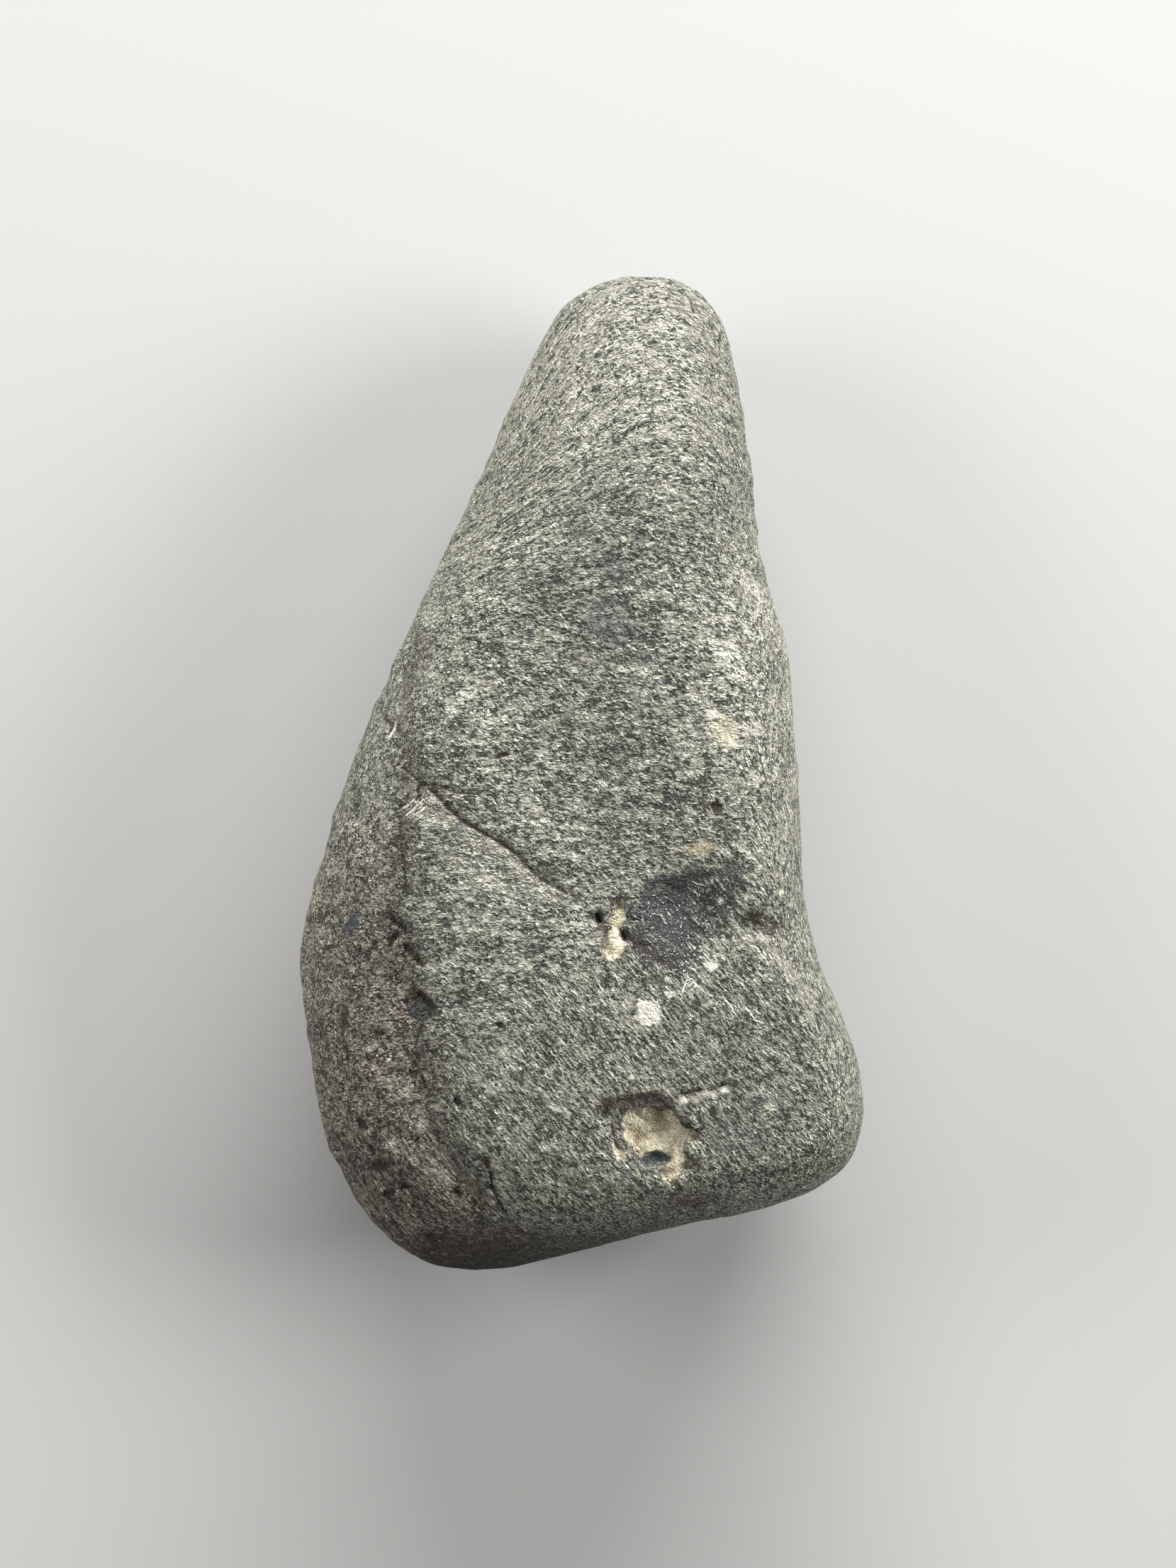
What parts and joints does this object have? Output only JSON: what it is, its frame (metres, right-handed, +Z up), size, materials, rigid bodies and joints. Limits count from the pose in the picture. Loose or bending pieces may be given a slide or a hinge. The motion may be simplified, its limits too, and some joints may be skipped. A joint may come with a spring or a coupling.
{
  "type": "worn tapered stone",
  "caption": "Small rounded grey stone that tapers from a broad blunt base to a narrow blunt tip, with a fine crack, shallow hollows and cream pits, lying on its back.",
  "frame": {"origin": "under the middle of the stone's box, on the plane that its flat rests on", "axes": "+Z up from the flat to the crown, +Y from the broad base to the tip, +X across the stone"},
  "size_m": [0.033, 0.0584, 0.017],
  "materials": {
    "worn_stone": "matt and finely grained, worn smooth"
  },
  "bodies": {
    "root": {"stone": "worn_stone"}
  },
  "joints": []
}
